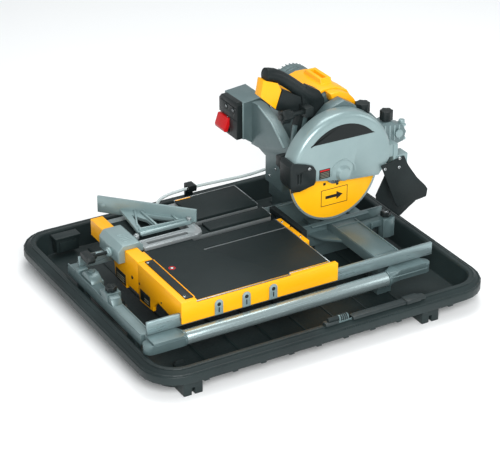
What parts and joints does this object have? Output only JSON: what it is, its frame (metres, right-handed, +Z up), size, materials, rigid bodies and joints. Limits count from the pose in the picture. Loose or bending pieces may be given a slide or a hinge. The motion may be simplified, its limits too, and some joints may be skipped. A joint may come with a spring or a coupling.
{
  "type": "wet tile saw",
  "caption": "Wet tile saw with a tilting, plunging motor head over a rolling deck on rails, angle guide, splash guard, pump and hose, standing in a water tray.",
  "frame": {"origin": "centre of the whole saw's footprint, at the underside of the tray's feet", "axes": "+X along the cart travel, away from the operator; +Y towards the motor column; +Z up"},
  "size_m": [0.944, 0.801, 0.551],
  "materials": {
    "tray": "moulded black tray plastic",
    "rubber": "black rubber",
    "castings": "mid grey painted casting",
    "light_castings": "light grey painted casting",
    "black_plastic": "black moulded plastic",
    "red_plastic": "red switch plastic",
    "hose": "clear vinyl hose",
    "steel": "bare steel",
    "aluminium": "mill-finish aluminium",
    "mat": "ribbed rubber mat",
    "yellow_paint": "yellow enamel",
    "blade_paint": "yellow enamel on steel with a bare rim",
    "copper_iron": "copper winding on laminated iron"
  },
  "bodies": {
    "base": {"water_tray": "tray", "drain_plug": "rubber", "rim_strip": "tray", "rim_latch": "castings", "pump": "black_plastic", "hose_clip": "black_plastic", "water_hose": "hose", "front_tube": "steel", "tube_end_left": "castings", "tube_end_right": "castings", "front_rail": "steel", "rear_rail": "steel", "cross_member_left": "castings", "cross_member_right": "castings", "trough_beam": "castings", "trough_lip": "rubber", "column_base": "castings", "fixed_arm": "castings", "switch_housing": "black_plastic"},
    "switch": {"switch_paddle": "red_plastic"},
    "left_knob": {"post_knob_left": "black_plastic"},
    "right_knob": {"post_knob_right": "black_plastic"},
    "cart": {"deck_plate": "aluminium", "deck_mat": "mat", "deck_strip": "mat", "deck_panel_rear": "mat", "cart_frame": "yellow_paint", "end_strip": "black_plastic", "fence_bar": "yellow_paint", "edge_bracket": "yellow_paint"},
    "roller_a": {"roller_1": "steel"},
    "roller_b": {"roller_2": "steel"},
    "roller_c": {"roller_3": "steel"},
    "roller_d": {"roller_4": "steel"},
    "fence_clamp": {"clamp_body": "light_castings", "guide_bar": "aluminium"},
    "clamp_screw": {"clamp_knob": "black_plastic"},
    "guide": {"angle_guide": "light_castings"},
    "bevel_head": {"bevel_arm": "castings", "plunge_pin": "steel"},
    "bevel_lock": {"bevel_knob": "black_plastic"},
    "saw_head": {"drive_case": "castings", "drive_belt": "rubber", "motor_housing": "castings", "motor_end_cap": "castings", "motor_stator": "copper_iron", "motor_cover": "yellow_paint", "handle": "black_plastic", "handle_cover": "yellow_paint", "blade_guard": "light_castings", "front_shield": "black_plastic", "flap_front": "rubber", "flap_rear": "rubber"},
    "depth_stop": {"depth_stop_knob": "black_plastic"},
    "plunge_lock": {"plunge_lock_knob": "black_plastic"},
    "star_lock": {"star_knob": "black_plastic"},
    "cutting_disc": {"spindle": "steel", "blade": "blade_paint", "outer_flange": "steel"},
    "rotor": {"motor_armature": "copper_iron"}
  },
  "joints": [
    {"name": "cart_travel", "type": "slide", "parent": "base", "child": "cart", "axis": [1, 0, 0], "range_m": [-0.05, 0.24]},
    {"name": "roller_a_spin", "type": "hinge", "parent": "cart", "child": "roller_a", "pos_m": [-0.264, -0.2515, 0.1383], "axis": [0, 1, 0], "continuous": true},
    {"name": "roller_b_spin", "type": "hinge", "parent": "cart", "child": "roller_b", "pos_m": [0.031, -0.2515, 0.1383], "axis": [0, 1, 0], "continuous": true},
    {"name": "roller_c_spin", "type": "hinge", "parent": "cart", "child": "roller_c", "pos_m": [-0.264, 0.1075, 0.1383], "axis": [0, 1, 0], "continuous": true},
    {"name": "roller_d_spin", "type": "hinge", "parent": "cart", "child": "roller_d", "pos_m": [0.031, 0.1075, 0.1383], "axis": [0, 1, 0], "continuous": true},
    {"name": "fence_clamp_travel", "type": "slide", "parent": "cart", "child": "fence_clamp", "axis": [0, 1, 0], "range_m": [-0.02, 0.08]},
    {"name": "clamp_screw_turn", "type": "hinge", "parent": "fence_clamp", "child": "clamp_screw", "pos_m": [-0.374, 0.0635, 0.148], "axis": [1, 0, 0], "continuous": true},
    {"name": "guide_swing", "type": "hinge", "parent": "fence_clamp", "child": "guide", "pos_m": [-0.135, 0.0765, 0.17], "axis": [0, 0, 1], "range_deg": [-45, 8]},
    {"name": "bevel_tilt", "type": "hinge", "parent": "base", "child": "bevel_head", "pos_m": [0.146, 0.0185, 0.299], "axis": [1, 0, 0], "range_deg": [0, 45]},
    {"name": "bevel_lock_turn", "type": "hinge", "parent": "base", "child": "bevel_lock", "pos_m": [0.106, 0.0185, 0.299], "axis": [1, 0, 0], "continuous": true},
    {"name": "plunge_lift", "type": "hinge", "parent": "bevel_head", "child": "saw_head", "pos_m": [0.411, 0.0155, 0.318], "axis": [0, 1, 0], "range_deg": [0, 18]},
    {"name": "depth_stop_turn", "type": "hinge", "parent": "saw_head", "child": "depth_stop", "pos_m": [0.312, -0.0025, 0.4], "axis": [0, 0, 1], "continuous": true},
    {"name": "plunge_lock_turn", "type": "hinge", "parent": "saw_head", "child": "plunge_lock", "pos_m": [0.384, -0.0025, 0.37], "axis": [0, 0, 1], "continuous": true},
    {"name": "star_lock_turn", "type": "hinge", "parent": "saw_head", "child": "star_lock", "pos_m": [0.116, -0.0035, 0.43], "axis": [1, 0, 0], "continuous": true},
    {"name": "blade_spin", "type": "hinge", "parent": "saw_head", "child": "cutting_disc", "pos_m": [0.206, -0.0445, 0.27], "axis": [0, 1, 0], "continuous": true},
    {"name": "motor_spin", "type": "hinge", "parent": "saw_head", "child": "rotor", "pos_m": [0.248, 0.1055, 0.384], "axis": [0, 1, 0], "continuous": true},
    {"name": "switch_press", "type": "hinge", "parent": "base", "child": "switch", "pos_m": [0.072, 0.2625, 0.332], "axis": [0, -1, 0], "range_deg": [0, 7], "stiffness_Nm_per_rad": 0.6},
    {"name": "left_knob_turn", "type": "hinge", "parent": "base", "child": "left_knob", "pos_m": [-0.416, -0.0595, 0.12], "axis": [0, 0, 1], "continuous": true},
    {"name": "right_knob_turn", "type": "hinge", "parent": "base", "child": "right_knob", "pos_m": [0.354, -0.0595, 0.12], "axis": [0, 0, 1], "continuous": true}
  ],
  "couplings": [
    {"joint": "roller_a_spin", "follows": "cart_travel", "rad_per_m": 125},
    {"joint": "roller_b_spin", "follows": "cart_travel", "rad_per_m": 125},
    {"joint": "roller_c_spin", "follows": "cart_travel", "rad_per_m": 125},
    {"joint": "roller_d_spin", "follows": "cart_travel", "rad_per_m": 125},
    {"joint": "motor_spin", "follows": "blade_spin", "ratio": 2}
  ]
}
